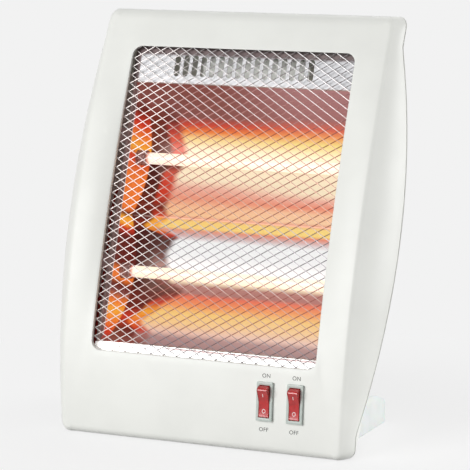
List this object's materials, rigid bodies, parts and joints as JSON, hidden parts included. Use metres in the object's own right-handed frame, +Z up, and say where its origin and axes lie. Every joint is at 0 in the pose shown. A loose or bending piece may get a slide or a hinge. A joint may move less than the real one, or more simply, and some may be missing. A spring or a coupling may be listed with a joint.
{
  "type": "electric bar heater",
  "caption": "Leaning two-tube quartz heater: moulded casing, wire guard over a polished reflector, rocker switches, rear feet and a tip-over plunger.",
  "frame": {"origin": "middle of the whole heater's box, on the surface that it stands on", "axes": "+Z up, -Y the way the heat goes, +X towards the switches' side as seen from the front"},
  "size_m": [0.2982, 0.1484, 0.345],
  "materials": {
    "casing_white": "fine satin moulded polypropylene",
    "foot_white": "slightly milky smooth plastic",
    "guard_wire": "bright plated wire",
    "zinc_sheet": "bright galvanised sheet",
    "polished_reflector": "polished reflector sheet",
    "quartz": "frosted quartz",
    "heating_wire": "glowing resistance wire",
    "ceramic": "unglazed white ceramic",
    "spring_steel": "plain spring steel",
    "screw_steel": "zinc-plated",
    "brass": "tin-bright brass",
    "switch_grey": "smooth grey-green plastic",
    "rocker_red": "clear red plastic",
    "black_moulding": "dark heat-proof moulding",
    "block_white": "plain white moulding",
    "black_rubber": "matt black",
    "red_insulation": "silicone sleeve",
    "blue_insulation": "silicone sleeve",
    "brown_insulation": "silicone sleeve"
  },
  "bodies": {
    "root": {"front_shell": "casing_white", "rear_shell": "casing_white", "wire_guard": "guard_wire", "guard_rim": "zinc_sheet", "reflector": "polished_reflector", "vent_plate": "zinc_sheet", "bottom_lip_plate": "zinc_sheet", "end_plate_left": "zinc_sheet", "end_plate_right": "zinc_sheet", "heat_box": "zinc_sheet", "upper_quartz_tube": "quartz", "lower_quartz_tube": "quartz", "upper_heating_coil": "heating_wire", "lower_heating_coil": "heating_wire", "end_cap_upper_left": "ceramic", "end_cap_upper_right": "ceramic", "end_cap_lower_left": "ceramic", "end_cap_lower_right": "ceramic", "tube_clip_upper_left": "spring_steel", "tube_clip_upper_right": "spring_steel", "tube_clip_lower_left": "spring_steel", "tube_clip_lower_right": "spring_steel", "tube_clip_screws": "screw_steel", "upper_tube_terminals": "brass", "lower_tube_terminals": "brass", "left_switch_body": "switch_grey", "right_switch_body": "switch_grey", "left_switch_blades": "brass", "right_switch_blades": "brass", "thermal_cutout": "black_moulding", "thermal_cutout_screws": "screw_steel", "terminal_block": "block_white", "terminal_block_screws": "screw_steel", "tip_over_switch": "black_moulding", "tip_over_spring": "spring_steel", "tip_over_screws": "screw_steel", "cord_gland": "black_rubber", "left_rear_foot": "foot_white", "right_rear_foot": "foot_white", "foot_screws": "screw_steel", "case_screws": "screw_steel", "guard_screws": "screw_steel", "reflector_screws": "screw_steel", "plate_screws": "screw_steel", "wire_upper_feed": "red_insulation", "wire_lower_feed": "red_insulation", "wire_tube_link": "blue_insulation", "wire_switched_live": "brown_insulation", "wire_switch_link": "brown_insulation", "wire_live": "brown_insulation", "wire_tip_live": "brown_insulation", "wire_neutral": "blue_insulation"},
    "left_rocker": {"left_rocker": "rocker_red"},
    "right_rocker": {"right_rocker": "rocker_red"},
    "tip_over_plunger": {"tip_over_plunger": "block_white"}
  },
  "joints": [
    {"name": "left_rocker_tilt", "type": "hinge", "parent": "root", "child": "left_rocker", "pos_m": [0.0583, -0.06688, 0.04289], "axis": [-1, 0, 0], "range_deg": [0, 28]},
    {"name": "right_rocker_tilt", "type": "hinge", "parent": "root", "child": "right_rocker", "pos_m": [0.0845, -0.06688, 0.04289], "axis": [-1, 0, 0], "range_deg": [0, 28]},
    {"name": "plunger_drop", "type": "slide", "parent": "root", "child": "tip_over_plunger", "axis": [0, 0, -1], "range_m": [0, 0.005], "stiffness_N_per_m": 60, "springref_m": 0.009, "deforming": ["tip_over_spring"]}
  ]
}
